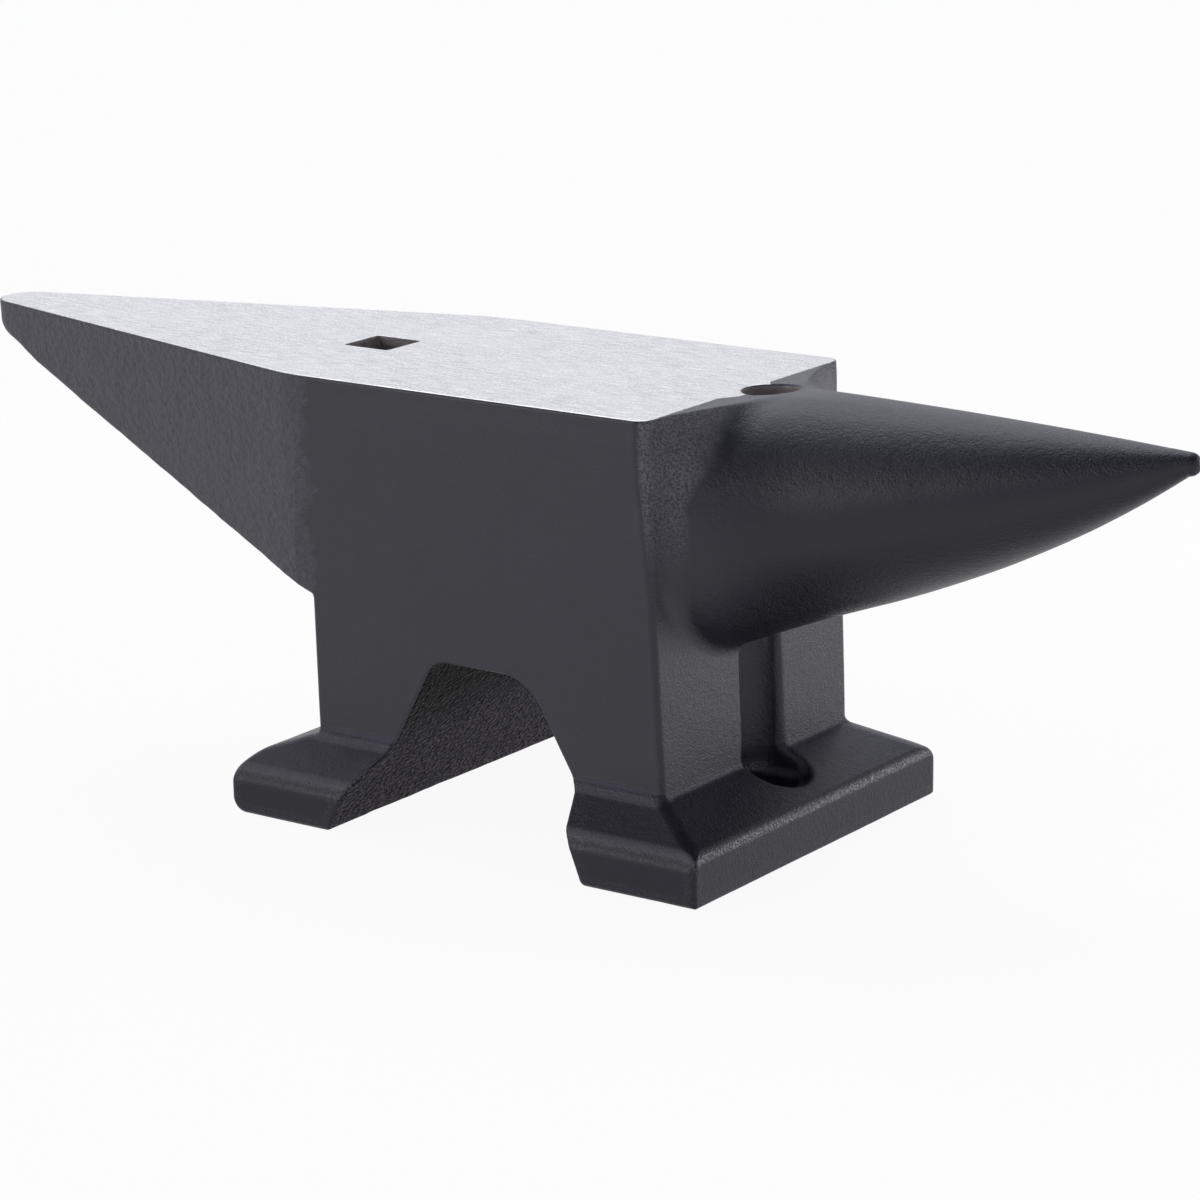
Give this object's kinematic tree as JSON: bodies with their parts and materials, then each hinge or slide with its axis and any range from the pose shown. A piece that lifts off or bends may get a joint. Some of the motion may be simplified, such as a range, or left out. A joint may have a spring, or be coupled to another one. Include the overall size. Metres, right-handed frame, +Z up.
{
  "type": "single horn anvil",
  "caption": "Smith's anvil with a round horn, a bright flat face that tapers into a flat heel, a square and a round tool hole, and two broad feet joined by an arch.",
  "frame": {"origin": "on the ground under the middle of the overall length and width", "axes": "+X towards the tip of the horn, +Y across the face, +Z up"},
  "size_m": [0.532, 0.16, 0.1661],
  "materials": {
    "cast_dark": "smooth dark grey cast and ground steel, semi-matt coating",
    "cast_rough": "as-cast orange-peel skin under the same dark coating",
    "horn_dark": "ground and coated, soft sheen",
    "foot_dark": "sand-cast grain under a dark coating",
    "bright_face": "milled and brushed bright, dark coating on its sides"
  },
  "bodies": {
    "root": {"body": "cast_dark", "face_plate": "bright_face", "horn": "horn_dark", "heel": "cast_rough", "front_foot": "foot_dark", "rear_foot": "foot_dark"}
  },
  "joints": []
}
